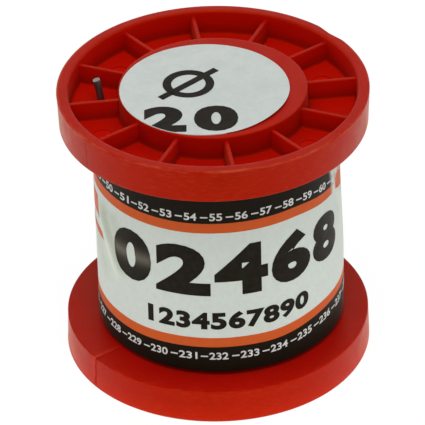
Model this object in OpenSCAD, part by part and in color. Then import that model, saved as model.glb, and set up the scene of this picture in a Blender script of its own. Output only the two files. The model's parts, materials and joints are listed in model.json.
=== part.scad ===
// Solder wire spool: a one-piece moulded bobbin with ribbed flanges, wound full of solder wire,
// with a paper label wrapped round the winding and a round sticker over one end of the hub.
// The axis is Z. The origin is the centre of the face that the spool stands on.

/* [Flanges] */
// Outer diameter of both flanges
flange_d = 63; // [58:0.5:70]
// Depth of each flange along the axis, from its rim face to the face that the wire lies against
flange_depth = 7.2; // [6.4:0.1:9]
// Wall of the rim, measured at the rim face
rim_wall = 2.3; // [1.8:0.1:3]
// Web between the pocket floor and the wire
web_t = 2; // [1.4:0.1:2.6]
// How much the rim tapers in towards the wire, on the radius
rim_draft = 0.25; // [0:0.05:0.5]
// Round on the outer edge of the rim face
rim_round = 0.25; // [0.1:0.05:0.8]
// Round on the inner edge of the rim face
lip_round = 0.45; // [0.1:0.05:0.8]
// Angle of the mould's parting line about the axis, in degrees
parting_turn = 36.5; // [0:0.5:90]
// Height of the fine ridge that the parting line left on both rims
parting_ridge = 0.12; // [0.05:0.01:0.2]
// Width of the notch in the upper rim where the gate was cut off
gate_w = 8.8; // [6:0.2:12]
// Depth of that notch
gate_depth = 0.65; // [0.3:0.05:1]
// Angle from the parting line to the notch, in degrees
gate_skew = 2; // [0:0.5:4]
// Diameter of the ejector pins' marks in the upper pockets
pin_d = 4; // [3:0.5:6]
// Depth of those marks
pin_sunk = 0.2; // [0.1:0.05:0.4]

/* [Ribs] */
// Number of ribs in each flange
rib_count = 12; // [8:1:16]
// Thickness of a rib at its top edge
rib_t = 0.8; // [0.6:0.1:1.6]
// How far the ribs stop below the rim face
rib_drop = 1.1; // [0.6:0.1:2.6]
// Angle of the first rib about the axis, in degrees
rib_turn = 7.3; // [0:0.1:29.9]

/* [Hub] */
// Overall height of the moulding
spool_h = 60.6; // [50:0.2:66]
// Outer diameter of the hub ring in the end of each flange
hub_d = 38; // [36:0.5:40]
// Outer diameter of the barrel that the wire is wound on
barrel_d = 36.8; // [35:0.2:37.4]
// Bore of the hub, for a spindle
bore_d = 30; // [20:0.5:31]
// How far the hub's end faces lie below the rim faces
hub_drop = 0.2; // [0.1:0.1:0.8]
// Round on the outer edge of the hub's end faces
hub_round = 0.25; // [0.1:0.05:0.5]
// Chamfer at both mouths of the bore
bore_chamfer = 0.4; // [0.2:0.1:0.8]

/* [Solder wire] */
// Diameter of the solder wire
wire_d = 1.5; // [1.2:0.1:1.6]
// Layers of wire below the outer one
inner_layers = 3; // [2:1:3]
// Height of the cut wire end above the spool's upper rim
wire_end_h = 0.15; // [0:0.05:2]
// How far the cut wire end leans outwards above the pocket floor
wire_end_lean = 0.9; // [0:0.1:1.5]
// Distance of the wire's hole in the upper web from the barrel
wire_hole_out = 4.35; // [3.4:0.05:4.6]
// Angle of the wire's hole from the rib before it, as a share of the rib spacing
wire_hole_share = 0.5; // [0.4:0.05:0.6]

/* [Label and sticker] */
// Distance of the label's lower edge from the lower flange
label_seat = 1; // [0.2:0.1:2]
// Distance of the label's upper edge from the upper flange
label_top_gap = 3.1; // [2.2:0.1:6]
// How far the loose label's middle lies from the axis
label_off = 0.6; // [0:0.1:0.8]
// Thickness of the label and sticker paper, with its glue
paper_t = 0.15; // [0.1:0.05:0.25]
// Length by which the label overlaps itself
label_lap = 9; // [5:1:15]
// Angle of the label's outer end about the axis, in degrees
label_end_turn = 96; // [60:1:120]
// Diameter of the round sticker on the hub
sticker_d = 34.2; // [32:0.2:34.4]
// Distance of the sticker's middle from the axis
sticker_off = 1.9; // [0:0.1:2]
// Direction of that offset about the axis, in degrees
sticker_off_turn = 208; // [0:1:359]

/* [Clearances] */
// Free space between the winding and each flange
flange_gap = 0.3; // [0.1:0.05:0.5]
// Free space between the barrel and the inner layers
barrel_gap = 0.1; // [0.05:0.05:0.2]
// Free space between the inner layers and the outer one
layer_gap = 0.35; // [0.3:0.05:0.5]
// Free space between one turn of the outer layer and the next
turn_gap = 0.5; // [0.45:0.01:0.8]
// Free space between the outer layer and the label
label_gap = 0.08; // [0.05:0.01:0.2]
// Added to the wire's diameter for the hole that it passes through
wire_hole_gap = 0.9; // [0.7:0.1:1.2]

/* [Hidden] */
$fn = 96;

RED = [0.78, 0.07, 0.04];
SOLDER = [0.58, 0.60, 0.60];
PAPER = [0.90, 0.91, 0.88];

// Flange
flange_r = flange_d / 2;
rim_inner_r = flange_r - rim_wall;
pocket_depth = flange_depth - web_t;
POCKET_DRAFT = 0.15; // taper of the pocket walls, on the radius
EDGE_STEPS = 4; // straight steps in a quarter of an edge round
RIB_ROOT = 0.8; // length of rib sunk into the hub and into the rim
RIB_DRAFT = 0.03; // taper of each rib flank, on its height
RIDGE_W = 0.35;
notch_end_r = sqrt(pow(flange_r, 2) - pow(gate_w / 2, 2)); // distance of its ends across the notch

// Hub
hub_r = hub_d / 2;
barrel_r = barrel_d / 2;
bore_r = bore_d / 2;
pin_r = (hub_r + rim_inner_r) / 2; // the ejector pins push on the middle of the pocket floors

// Winding
NESTING = 0.87; // rise of a layer that lies in the grooves of the one below, in wire diameters
RING_TURN = 15; // angle between rings of the tube, so that a turn has 24 rings
TUBE_SIDES = 6;
wire_r = wire_d / 2;
tube_half_h = wire_r * cos(180 / TUBE_SIDES); // the tube's sides lie flat towards the next turn
core_bottom = flange_depth + flange_gap;
core_top = spool_h - core_bottom;
core_r = barrel_r + barrel_gap + wire_d * (1 + (inner_layers - 1) * NESTING);
layer_r = core_r + layer_gap + wire_r;
pitch = 2 * tube_half_h + turn_gap;

// The wire's end: it sinks inwards, bends up and leaves through a hole in the upper web
hole_r = barrel_r + wire_hole_out;
WIRE_POCKET = 5; // the pocket that the wire comes out in, counted from the first rib
hole_turn = rib_turn + 360 / rib_count * (WIRE_POCKET + wire_hole_share);
bend_r = 1.4 * wire_d;
BEND_STEPS = 5;
upper_web_face = spool_h - flange_depth;
bend_bottom = upper_web_face - bend_r - 0.2 * wire_d;
lead_turn = 50; // angle over which the wire sinks inwards
last_turn_end = hole_turn - bend_r / hole_r * 180 / PI;

// The wire's start: it climbs out of the layer below
climb_turn = 45;
start_r = layer_r - wire_d;
first_z = core_bottom + wire_r;
wound_angle = (bend_bottom - first_z) / pitch * 360;
start_turn = last_turn_end - wound_angle;
start_wall_turn = start_turn - barrel_gap / start_r * 180 / PI; // face of the layer it comes from

// Label: its sheet goes once round and then over its own beginning
label_inner_r = layer_r + wire_r + label_gap + label_off;
LAP_GAP = 0.03;
LAP_RISE_TURN = 6; // angle over which the sheet rises onto its beginning
LABEL_STEP = 4; // angle between the points of the sheet's outline
lap_turn = label_lap / label_inner_r * 180 / PI;
label_bottom = flange_depth + label_seat;
label_h = upper_web_face - label_top_gap - label_bottom;

// A quarter round from the heading a0 to a1, about a centre in the r-z plane
function quarter(centre, radius, a0, a1) =
    [for (i = [0:EDGE_STEPS]) let (a = a0 + (a1 - a0) * i / EDGE_STEPS)
        centre + radius * [cos(a), sin(a)]];

// One end of the moulding in the r-z plane, from the bore round to the barrel, with its rim face
// at z = 0
function end_outline() = concat(
    [[bore_r, hub_drop + bore_chamfer], [bore_r + bore_chamfer, hub_drop]],
    quarter([hub_r - hub_round, hub_drop + hub_round], hub_round, -90, 0),
    [[hub_r + POCKET_DRAFT, pocket_depth], [rim_inner_r - POCKET_DRAFT, pocket_depth]],
    quarter([rim_inner_r + lip_round, lip_round], lip_round, 180, 270),
    quarter([flange_r - rim_round, rim_round], rim_round, -90, 0),
    [[flange_r - rim_draft, flange_depth], [barrel_r, flange_depth]]
);

function turned_over(points) =
    [for (i = [len(points) - 1:-1:0]) [points[i].x, spool_h - points[i].y]];

// One rib, from its top edge down into the web, with tapered flanks
module rib() {
    sunk = web_t / 2;
    height = pocket_depth - rib_drop + sunk;
    foot = rib_t / 2 + RIB_DRAFT * height;
    translate([hub_r - RIB_ROOT, 0, rib_drop])
        rotate([90, 0, 90])
            linear_extrude(rim_inner_r - hub_r + 2 * RIB_ROOT)
                polygon([[-rib_t / 2, 0], [rib_t / 2, 0], [foot, height], [-foot, height]]);
}

module ribs() {
    for (i = [0:rib_count - 1])
        rotate(rib_turn + 360 / rib_count * i)
            rib();
}

// The fine ridge along the parting line, up one rim, at one side
module ridge() {
    translate([flange_r - rim_wall / 2, -RIDGE_W / 2, rim_round])
        cube([rim_wall / 2 - rim_draft + parting_ridge, RIDGE_W, flange_depth - rim_round]);
}

// The shallow notch that was left on the upper rim where the gate was cut off
module gate_notch() {
    rotate(parting_turn + gate_skew)
        translate([0, 0, upper_web_face - 1])
            linear_extrude(flange_depth + 2)
                polygon([
                    [flange_r - gate_depth, 0],
                    [notch_end_r, gate_w / 2],
                    [flange_r + rim_wall, gate_w / 2],
                    [flange_r + rim_wall, -gate_w / 2],
                    [notch_end_r, -gate_w / 2]
                ]);
}

// The marks of the ejector pins, in the floor of every second pocket of the upper end
module pin_marks() {
    for (i = [0:2:rib_count - 1])
        rotate(rib_turn + 360 / rib_count * (i + 0.5))
            translate([pin_r, 0, spool_h - pocket_depth - pin_sunk])
                cylinder(d = pin_d, h = pin_sunk + web_t);
}

module spool_body() {
    color(RED)
        difference() {
            union() {
                rotate_extrude($fn = 180)
                    polygon(concat(end_outline(), turned_over(end_outline())));
                ribs();
                translate([0, 0, spool_h])
                    mirror([0, 0, 1])
                        ribs();
                for (side = [0, 180])
                    rotate(parting_turn + side) {
                        ridge();
                        translate([0, 0, spool_h])
                            mirror([0, 0, 1])
                                ridge();
                    }
            }
            gate_notch();
            pin_marks();
            // the wire's hole through the upper web
            rotate(hole_turn)
                translate([hole_r, 0, upper_web_face - 1])
                    cylinder(d = wire_d + wire_hole_gap, h = web_t + 2);
        }
}

// A block of the ring between two angles, from a radius outwards, to cut room in the inner layers
module sector(inner_r, from_turn, to_turn, bottom, top) {
    rotate(from_turn)
        translate([0, 0, bottom])
            rotate_extrude(angle = to_turn - from_turn)
                translate([inner_r, 0])
                    square([core_r - inner_r + 1, top - bottom]);
}

module solder_inner_layers() {
    color(SOLDER)
        difference() {
            translate([0, 0, core_bottom])
                rotate_extrude()
                    translate([barrel_r + barrel_gap, 0])
                        square([core_r - barrel_r - barrel_gap, core_top - core_bottom]);
            // where the outer layer's first turn climbs out of the layer below
            sector(start_r - wire_r - layer_gap, start_wall_turn,
                start_turn + climb_turn + RING_TURN,
                core_bottom - 1, first_z + pitch * climb_turn / 360 + wire_r + layer_gap);
            // where the wire's end sinks inwards and bends up
            sector(hole_r - wire_r - layer_gap, last_turn_end - lead_turn - RING_TURN,
                hole_turn + RING_TURN / 2, bend_bottom - wire_d - layer_gap, core_top + 1);
        }
}

// Eases from 0 to 1
function ease(x) =
    let (t = min(max(x, 0), 1))
    t * t * (3 - 2 * t);

// Middle of the wire at an angle from its start
function wound_point(angle) =
    let (
        climb = ease(angle / climb_turn),
        lead = ease((angle - wound_angle + lead_turn) / lead_turn),
        r = start_r + climb * (layer_r - start_r) - lead * (layer_r - hole_r),
        turn = start_turn + angle
    )
    [r * cos(turn), r * sin(turn), first_z + pitch * angle / 360];

// The quarter bend from the last turn up to the hole
function bend_point(angle) =
    let (along = bend_r * (1 - sin(angle)), turn = hole_turn)
    [
        hole_r * cos(turn) + along * sin(turn),
        hole_r * sin(turn) - along * cos(turn),
        bend_bottom + bend_r * (1 - cos(angle))
    ];

function hole_point(z, lean) =
    [(hole_r + lean) * cos(hole_turn), (hole_r + lean) * sin(hole_turn), z];

// The first stretch runs straight for one wire diameter, square to the layer it comes from
wire_route = concat(
    [wound_point(0), wound_point(0) + wire_d * [-sin(start_turn), cos(start_turn), 0]],
    [for (angle = [RING_TURN:RING_TURN:wound_angle - RING_TURN / 2]) wound_point(angle)],
    [for (i = [0:BEND_STEPS]) bend_point(90 * i / BEND_STEPS)],
    [
        hole_point(spool_h - pocket_depth, 0),
        hole_point(spool_h + wire_end_h, wire_end_lean)
    ]
);

function unit(v) = v / norm(v);

// Heading of the route at one of its points
function heading(i) =
    let (last = len(wire_route) - 1)
    unit(wire_route[min(i + 1, last)] - wire_route[max(i - 1, 0)]);

// Corners of the tube's ring at one of the route's points, with the first corner outwards
function ring(i) =
    let (
        p = wire_route[i],
        ahead = heading(i),
        side = unit(cross(ahead, [p.x, p.y, 0])),
        out = cross(side, ahead)
    )
    [for (k = [0:TUBE_SIDES - 1]) let (a = 360 / TUBE_SIDES * k)
        p + wire_r * (cos(a) * out + sin(a) * side)];

wire_rings = [for (i = [0:len(wire_route) - 1]) ring(i)];

// Least distance from each ring to those between half a turn and one and a half turns further on
least_gap = min([
    for (i = [0:len(wire_rings) - 1])
        for (j = [i + 12:min(i + 36, len(wire_rings) - 1)])
            for (p = wire_rings[i])
                for (q = wire_rings[j])
                    norm(p - q)
]);

module solder_outer_layer() {
    echo(least_gap_between_turns = least_gap, turns = wound_angle / 360);
    last = len(wire_rings) - 1;
    color(SOLDER)
        polyhedron(
            points = [for (corners = wire_rings) each corners],
            faces = concat(
                [[for (k = [TUBE_SIDES - 1:-1:0]) k]],
                [for (i = [0:last - 1]) for (k = [0:TUBE_SIDES - 1])
                    let (a = TUBE_SIDES * i, b = a + TUBE_SIDES, next = (k + 1) % TUBE_SIDES)
                    each [[a + k, a + next, b + next], [a + k, b + next, b + k]]],
                [[for (k = [0:TUBE_SIDES - 1]) TUBE_SIDES * last + k]]
            )
        );
}

// Inner radius of the label's sheet at an angle from its beginning: it rises onto itself
function sheet_r(angle) =
    label_inner_r + (paper_t + LAP_GAP) * ease((angle - 360 + LAP_RISE_TURN) / LAP_RISE_TURN);

sheet_angles = concat([for (a = [0:LABEL_STEP:360 + lap_turn - LABEL_STEP / 2]) a],
    [360 + lap_turn]);

module wrap_label() {
    color(PAPER)
        translate([label_off, 0, label_bottom])
            rotate(label_end_turn - lap_turn)
                linear_extrude(label_h)
                    polygon(concat(
                        [for (a = sheet_angles) sheet_r(a) * [cos(a), sin(a)]],
                        [for (i = [len(sheet_angles) - 1:-1:0]) let (a = sheet_angles[i])
                            (sheet_r(a) + paper_t) * [cos(a), sin(a)]]
                    ));
}

module end_sticker() {
    color(PAPER)
        rotate(sticker_off_turn)
            translate([sticker_off, 0, spool_h - hub_drop])
                cylinder(d = sticker_d, h = paper_t);
}

spool_body();
solder_inner_layers();
solder_outer_layer();
wrap_label();
end_sticker();
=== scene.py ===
"""The looks of a solder wire spool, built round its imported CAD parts.

Lengths and places are in millimetres in the part's own frame, and angles are in degrees about the
spool's axis, until mesh_object() turns a shape into metres. "Out" is the distance from the axis,
"far" the distance from mid-height, and "arc" the distance round the label from the front.
"""

import json
import math
from types import SimpleNamespace

import bmesh
import bpy
import numpy as np
from mathutils import Matrix, Vector


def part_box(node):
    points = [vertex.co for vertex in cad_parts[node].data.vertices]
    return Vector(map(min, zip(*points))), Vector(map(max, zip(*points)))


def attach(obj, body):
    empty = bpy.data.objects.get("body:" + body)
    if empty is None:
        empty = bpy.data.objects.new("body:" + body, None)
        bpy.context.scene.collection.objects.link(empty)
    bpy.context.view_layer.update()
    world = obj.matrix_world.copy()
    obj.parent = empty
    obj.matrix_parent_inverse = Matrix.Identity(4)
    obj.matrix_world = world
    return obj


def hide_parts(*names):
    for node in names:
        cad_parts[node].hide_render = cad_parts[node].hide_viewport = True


MM = 0.001

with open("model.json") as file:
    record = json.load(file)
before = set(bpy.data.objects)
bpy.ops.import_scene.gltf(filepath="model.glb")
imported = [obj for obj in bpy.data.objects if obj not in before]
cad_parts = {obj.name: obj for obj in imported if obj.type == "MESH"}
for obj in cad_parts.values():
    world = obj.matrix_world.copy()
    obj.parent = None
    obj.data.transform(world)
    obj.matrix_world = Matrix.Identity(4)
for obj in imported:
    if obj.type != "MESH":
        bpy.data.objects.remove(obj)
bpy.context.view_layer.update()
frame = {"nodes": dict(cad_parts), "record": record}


def box_mm(node):
    """Lowest and highest corner of a CAD node, in millimetres."""
    low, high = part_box(node)
    return np.array(low) / MM, np.array(high) / MM


_, body_high = box_mm("spool_body")
label_low, label_high = box_mm("wrap_label")
sticker_low, sticker_high = box_mm("end_sticker")
wire_low, _ = box_mm("solder_outer_layer")
bore = next(m for m in frame["record"]["mounts"] if m["name"] == "hub_bore")

# --- Sizes of the moulding ---
SPOOL_H = body_high[2]
FLANGE_R = 31.5
FLANGE_DEPTH = 7.2
RIM_WALL = 2.3
RIM_DRAFT = 0.25
RIM_INNER_R = FLANGE_R - RIM_WALL
POCKET = 5.2  # depth of the pockets' floors below the rim face
POCKET_DRAFT = 0.15
HUB_R = 19.0
HUB_DROP = SPOOL_H - sticker_low[2]
BARREL_R = 18.4
BORE_R = bore["dims"]["r_mm"]
RIB_COUNT = 12
RIB_T = 0.8
RIB_DROP = 1.1  # depth of the ribs' tops below the rim face
RIB_TAPER = 0.12
RIB_TURN = 7.3
SECTOR = 360 / RIB_COUNT

# Distances from mid-height of the rim faces, the pockets' floors and the flanges' inner faces
FACE_FAR = SPOOL_H / 2
FLOOR_FAR = FACE_FAR - POCKET
INNER_FAR = FACE_FAR - FLANGE_DEPTH

# Marks of the mould
PARTING_TURN = 36.5
UPPER_RIDGE, LOWER_RIDGE = 0.06, 0.16  # height of the parting line on the rims
INNER_RIDGE = 0.07  # and on the flanges' inner faces
LINE_SHIFT = 0.2  # how far the line wanders off its plane
MOULD_SHIFT = 0.05  # step between the mould's halves
GATE_TURN = PARTING_TURN + 2
GATE_W = 8.8
GATE_DEPTH = 0.65
PIN_R = 2.0
PIN_SUNK = 0.2

# --- Sizes of the wire, the label and the sticker ---
WIRE_D = 1.5
WIRE_R = WIRE_D / 2
LAYER_R = -wire_low[1] - WIRE_R
HOLE_TURN = RIB_TURN + 5.5 * SECTOR
HOLE_OUT = BARREL_R + 4.35
WIRE_HOLE_R = 1.2
BEND_R = 1.4 * WIRE_D
FIRST_Z = FLANGE_DEPTH + 0.3 + WIRE_R
BEND_BOTTOM = SPOOL_H - FLANGE_DEPTH - BEND_R - 0.2 * WIRE_D
WIRE_TIP_Z = SPOOL_H + 0.15
WIRE_LEAN = 0.9
PAPER_T = 0.15
LABEL_R = -label_low[1]
LABEL_X = label_low[0] + LABEL_R
LABEL_Z0, LABEL_Z1 = label_low[2], label_high[2]
LAP = 9.0
LAP_END = 96.0
STICKER_MIDDLE = (sticker_low + sticker_high)[:2] / 2
STICKER_R = (sticker_high[0] - sticker_low[0]) / 2


# --- Small tools ---
def smooth(x):
    """Eases from 0 to 1."""
    t = np.clip(x, 0, 1)
    return t * t * (3 - 2 * t)


def soft_min(a, b, blend):
    """The smaller of two heights, with a small fillet where they cross."""
    h = np.clip(0.5 + 0.5 * (b - a) / blend, 0, 1)
    return b * (1 - h) + a * h - blend * h * (1 - h)


def unit(v):
    return v / np.linalg.norm(v)


def on_circle(radius, turn):
    a = math.radians(turn)
    return np.array([radius * math.cos(a), radius * math.sin(a)])


def finish_mesh(mesh, sharp=50):
    """Turns all faces outwards and shades them smooth, apart from edges sharper than an angle."""
    shape = bmesh.new()
    shape.from_mesh(mesh)
    bmesh.ops.recalc_face_normals(shape, faces=shape.faces)
    shape.to_mesh(mesh)
    shape.free()
    mesh.shade_smooth()
    mesh.set_sharp_from_angle(angle=math.radians(sharp))


def new_object(name, data):
    made = bpy.data.objects.new(name, data)
    bpy.context.scene.collection.objects.link(made)
    return made


def mesh_object(name, points, faces, material, uv=None, sharp=50):
    """A smooth-shaded mesh object from points in millimetres. uv gives one pair for each point."""
    mesh = bpy.data.meshes.new(name)
    mesh.from_pydata((np.asarray(points) * MM).tolist(), [], faces)
    if uv is not None:
        layer = mesh.uv_layers.new(name="sheet")
        corners = np.zeros(len(mesh.loops), np.int32)
        mesh.loops.foreach_get("vertex_index", corners)
        layer.data.foreach_set("uv", np.asarray(uv, np.float32)[corners].ravel())
    finish_mesh(mesh, sharp)
    mesh.materials.append(material)
    return new_object(name, mesh)


def put(piece, slot, *nodes):
    """Ties a finished piece to the spool, and hides the CAD nodes that it stands for."""
    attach(piece, "root")
    if nodes:
        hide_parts(*nodes)


def set_layer(mesh, name, values):
    """Gives each point of a mesh a number that its material reads with point_value()."""
    layer = mesh.attributes.new(name, "FLOAT", "POINT")
    layer.data.foreach_set("value", np.asarray(values, np.float32))


def grid_faces(rows, columns, rows_close=False, columns_close=False):
    """Quads over a grid of points that are numbered row by row."""
    faces = []
    for i in range(rows if rows_close else rows - 1):
        for j in range(columns if columns_close else columns - 1):
            i1, j1 = (i + 1) % rows, (j + 1) % columns
            faces.append((i * columns + j, i * columns + j1, i1 * columns + j1, i1 * columns + j))
    return faces


def sheet_faces(rows, columns):
    """Quads that close two grids, front and back, into one thin sheet."""
    size = rows * columns
    front = grid_faces(rows, columns)
    back = [tuple(k + size for k in reversed(f)) for f in front]
    rim = [(0, j) for j in range(columns)] + [(i, columns - 1) for i in range(1, rows)]
    rim += [(rows - 1, j) for j in range(columns - 2, -1, -1)]
    rim += [(i, 0) for i in range(rows - 2, 0, -1)]
    ring = [i * columns + j for i, j in rim]
    return front + back + [(b, a, a + size, b + size) for a, b in zip(ring, ring[1:] + ring[:1])]


def rounded(corners, arc_step=18):
    """Points along a line of (across, depth, radius) corners, with each corner rounded."""
    points = [np.array(corners[0][:2], float)]
    for before, here, after in zip(corners, corners[1:], corners[2:]):
        middle = np.array(here[:2], float)
        a = unit(np.array(before[:2]) - middle)
        b = unit(np.array(after[:2]) - middle)
        half = math.acos(np.clip(a @ b, -1, 1)) / 2
        reach = here[2] / math.tan(half)
        centre = middle + unit(a + b) * here[2] / math.sin(half)
        start, end = middle + a * reach - centre, middle + b * reach - centre
        turn = math.pi - 2 * half
        steps = max(2, math.ceil(math.degrees(turn) / arc_step))
        for i in range(steps + 1):
            share = i / steps
            way = start * math.sin((1 - share) * turn) + end * math.sin(share * turn)
            points.append(centre + way / math.sin(turn))
    points.append(np.array(corners[-1][:2], float))
    return points


def filled(points, spacing):
    """The same line with points added, so that no stretch is longer than spacing."""
    line = [points[0]]
    for a, b in zip(points, points[1:]):
        steps = max(1, math.ceil(np.linalg.norm(b - a) / spacing))
        line += [a + (b - a) * i / steps for i in range(1, steps + 1)]
    return np.array(line)


# --- Shader tools ---
def node(kind, inputs, tree=None, **settings):
    """A shader node. An input's value is a number, a colour or another node's output, whose tree
    the new node joins."""
    linked = {k: v for k, v in inputs.items() if isinstance(v, bpy.types.NodeSocket)}
    tree = tree or next(iter(linked.values())).id_data
    made = tree.nodes.new("ShaderNode" + kind)
    for name, value in settings.items():
        setattr(made, name, value)
    for name, value in inputs.items():
        if name in linked:
            tree.links.new(value, made.inputs[name])
        else:
            made.inputs[name].default_value = value
    return made


def new_material(name, **constants):
    """A material whose Principled shader has these constant values."""
    made = bpy.data.materials.new(name)
    made.use_nodes = True
    shader = made.node_tree.nodes["Principled BSDF"]
    for socket, value in constants.items():
        shader.inputs[socket.replace("_", " ")].default_value = value
    return made, made.node_tree, shader


def drive(shader, colour, roughness, normal):
    """Links the three values that vary over a surface to its shader."""
    for name, value in (("Base Color", colour), ("Roughness", roughness), ("Normal", normal)):
        shader.id_data.links.new(value, shader.inputs[name])


def grey(value):
    return (value, value, value, 1)


def object_place(tree):
    return node("TexCoord", {}, tree).outputs["Object"]


def sheet_place(tree):
    """The place on a piece's own sheet, from its mesh's UV layer."""
    return node("UVMap", {}, tree, uv_map="sheet").outputs["UV"]


def point_value(tree, name):
    """A number that set_layer() gave to the mesh's points."""
    return node("Attribute", {}, tree, attribute_name=name).outputs["Fac"]


def mixed(factor, a, b, blend="MIX"):
    """A colour between a and b."""
    return node("Mix", {0: factor, 6: a, 7: b}, data_type="RGBA", blend_type=blend).outputs[2]


def ramp(factor, stops, steps=False):
    """A colour ramp through (place, colour) stops."""
    made = node("ValToRGB", {"Fac": factor})
    made.color_ramp.interpolation = "CONSTANT" if steps else "LINEAR"
    while len(made.color_ramp.elements) < len(stops):
        made.color_ramp.elements.new(0.5)
    for element, (place, colour) in zip(made.color_ramp.elements, stops):
        element.position = place
        element.color = colour
    return made.outputs["Color"]


def noise(place, scale, detail=3, roughness=0.5):
    inputs = {"Vector": place, "Scale": scale, "Detail": detail, "Roughness": roughness}
    return node("TexNoise", inputs).outputs["Fac"]


def two_tones(pattern, first, second):
    """A noise pattern as soft patches of two colours."""
    return ramp(pattern, [(0.3, first), (0.7, second)])


def bump(height, distance, strength=1.0, onto=None):
    """A bump whose full height is distance."""
    inputs = {"Height": height, "Distance": distance * MM, "Strength": strength}
    if onto is not None:
        inputs["Normal"] = onto
    return node("Bump", inputs).outputs["Normal"]


def maths(operation, a, b=0.0):
    return node("Math", {0: a, 1: b}, operation=operation).outputs[0]


def product(first, *others):
    """Outputs and numbers multiplied with each other, an output first."""
    for other in others:
        first = maths("MULTIPLY", first, other)
    return first


def between(value, low, high):
    """0 below low, 1 above high. High may be the lower one."""
    inputs = {"Value": value, "From Min": low, "From Max": high}
    return node("MapRange", inputs).outputs["Result"]


def zone(*limits):
    """The product of between() for several (length, low, high), with the limits in millimetres."""
    return product(*(between(length, low * MM, high * MM) for length, low, high in limits))


# --- The red plastic ---
RED_FLOOR_PAINTED_LIGHT = (0.60, 0.002, 0.0004, 1)  # painted light on the pockets' floors, away from the hub
RED_HUB_PAINTED_SHADE = (0.38, 0.0012, 0.0004, 1)  # painted shade on the hub's side in the pockets
RED_PAINTED_CORNER_SHADE = (0.19, 0.0008, 0.0003, 1)  # painted shade at the feet of the pockets' walls
RED_FOOT_PAINTED_LIGHT = (0.53, 0.010, 0.003, 1)  # painted light on the lowest part of the lower rim
RED_SCRATCH = (0.44, 0.024, 0.010, 1)
RED_EDGE = (0.48, 0.055, 0.024, 1)  # paler patches on the rims' outer corners
RED_LINE = (0.19, 0.001, 0.0005, 1)  # the parting line
RED_PAINTED_FACET = (0.54, 0.002, 0.0005, 1)  # a strip beside it painted as a tilted facet without reflection
RED_SCRAPE = (0.52, 0.03, 0.014, 1)
SCRATCH_RUN = 7  # length that one radian counts for in the wear's patterns


def spool_places(tree):
    """Where a point of the moulding is, in several ways."""
    place = object_place(tree)
    axes = node("SeparateXYZ", {"Vector": place}).outputs
    flat = node("VectorMath", {0: place, 1: (1, 1, 0)}, operation="MULTIPLY").outputs[0]
    out = node("VectorMath", {0: flat}, operation="LENGTH").outputs["Value"]
    turn = product(maths("ARCTAN2", axes["Y"], axes["X"]), SCRATCH_RUN * MM)
    unrolled = node("CombineXYZ", {"X": turn, "Y": out, "Z": axes["Z"]}).outputs["Vector"]
    far = maths("ABSOLUTE", maths("SUBTRACT", axes["Z"], FACE_FAR * MM))
    return SimpleNamespace(place=place, height=axes["Z"], out=out, far=far, unrolled=unrolled)


def pocket_painted_light_and_shade(at, colour):
    """Painted light on the pockets' floors and painted shade on their walls. Gives the colour, and
    the painted shade at the feet of the walls."""
    out, far = at.out, at.far
    walls = zone((out, HUB_R - 0.3, HUB_R), (out, RIM_INNER_R + 0.3, RIM_INNER_R))
    floor = zone((far, FLOOR_FAR + 0.06, FLOOR_FAR + 0.02),
                 (far, FLOOR_FAR - 1.1, FLOOR_FAR - 0.5), (out, HUB_R + 0.3, HUB_R + 4.5))
    above = (far, FLOOR_FAR, FLOOR_FAR + 0.12)
    hub_side = zone((out, HUB_R + 0.6, HUB_R + 0.25), above)
    foot = zone(above, (far, FLOOR_FAR + 2.5, FLOOR_FAR + 0.3))
    painted_corner_shade = product(foot, walls, 0.65)
    colour = mixed(product(floor, walls), colour, RED_FLOOR_PAINTED_LIGHT)
    colour = mixed(product(hub_side, walls), colour, RED_HUB_PAINTED_SHADE)
    return mixed(painted_corner_shade, colour, RED_PAINTED_CORNER_SHADE), painted_corner_shade


def rim_marks_and_painted_light(at, rim, colour):
    """A foot painted paler as light, fine scratches that run round, and paler patches on the
    corners.
    """
    # painted light on the lower rim's foot
    foot_painted_light = product(zone((at.height, 4.5, 0.5)), rim, 0.8)
    scratches = product(between(noise(at.unrolled, 2200, 3, 0.6), 0.50, 1.0),
                        maths("ADD", rim, 0.3))
    corner = FLANGE_R + FACE_FAR
    at_corner = zone((maths("ADD", at.out, at.far), corner - 0.5, corner - 0.3))
    patches = between(noise(at.unrolled, 800, 4, 0.65), 0.42, 0.62)
    colour = mixed(foot_painted_light, colour, RED_FOOT_PAINTED_LIGHT)
    colour = mixed(scratches, colour, RED_SCRATCH)
    return mixed(product(at_corner, patches), colour, RED_EDGE)


def parting_marks(at, rim, colour):
    """The mould's wandering parting line on the rims, a strip beside it painted as a tilted facet
    without reflection, and a scraped place beside it.
    """
    a = math.radians(PARTING_TURN)
    across = node("VectorMath", {0: at.place, 1: (-math.sin(a), math.cos(a), 0)},
                  operation="DOT_PRODUCT").outputs["Value"]
    upright = node("CombineXYZ", {"Z": at.height}).outputs["Vector"]
    wander = product(maths("SUBTRACT", noise(upright, 330), 0.5), 2.4 * MM)
    across = maths("ADD", across, maths("SUBTRACT", wander, LINE_SHIFT * MM))
    low = (at.height, 0.75 * SPOOL_H, 0.25 * SPOOL_H)
    painted_facet = zone((across, 1.4, 0.7), (across, -0.35, 0.1), low)
    inner = zone((at.far, INNER_FAR + 0.25, INNER_FAR + 0.05),
                 (at.out, FLANGE_R - 7, FLANGE_R - 2), (across, 1.5, 0.6), (across, 0.0, 0.2), low)
    patches = between(noise(at.place, 520, 2), 0.44, 0.58)
    line = zone((across, 0.27, 0.05), (across, -0.27, -0.05),
                (at.far, FACE_FAR - 0.3, FACE_FAR - 0.7))
    # a strip painted paler beside the line, as a tilted facet without reflection
    colour = mixed(product(painted_facet, rim), colour, RED_PAINTED_FACET)
    colour = mixed(product(inner, patches, 0.8), colour, RED_SCRAPE)
    return mixed(product(line, rim), colour, RED_LINE)


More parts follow.
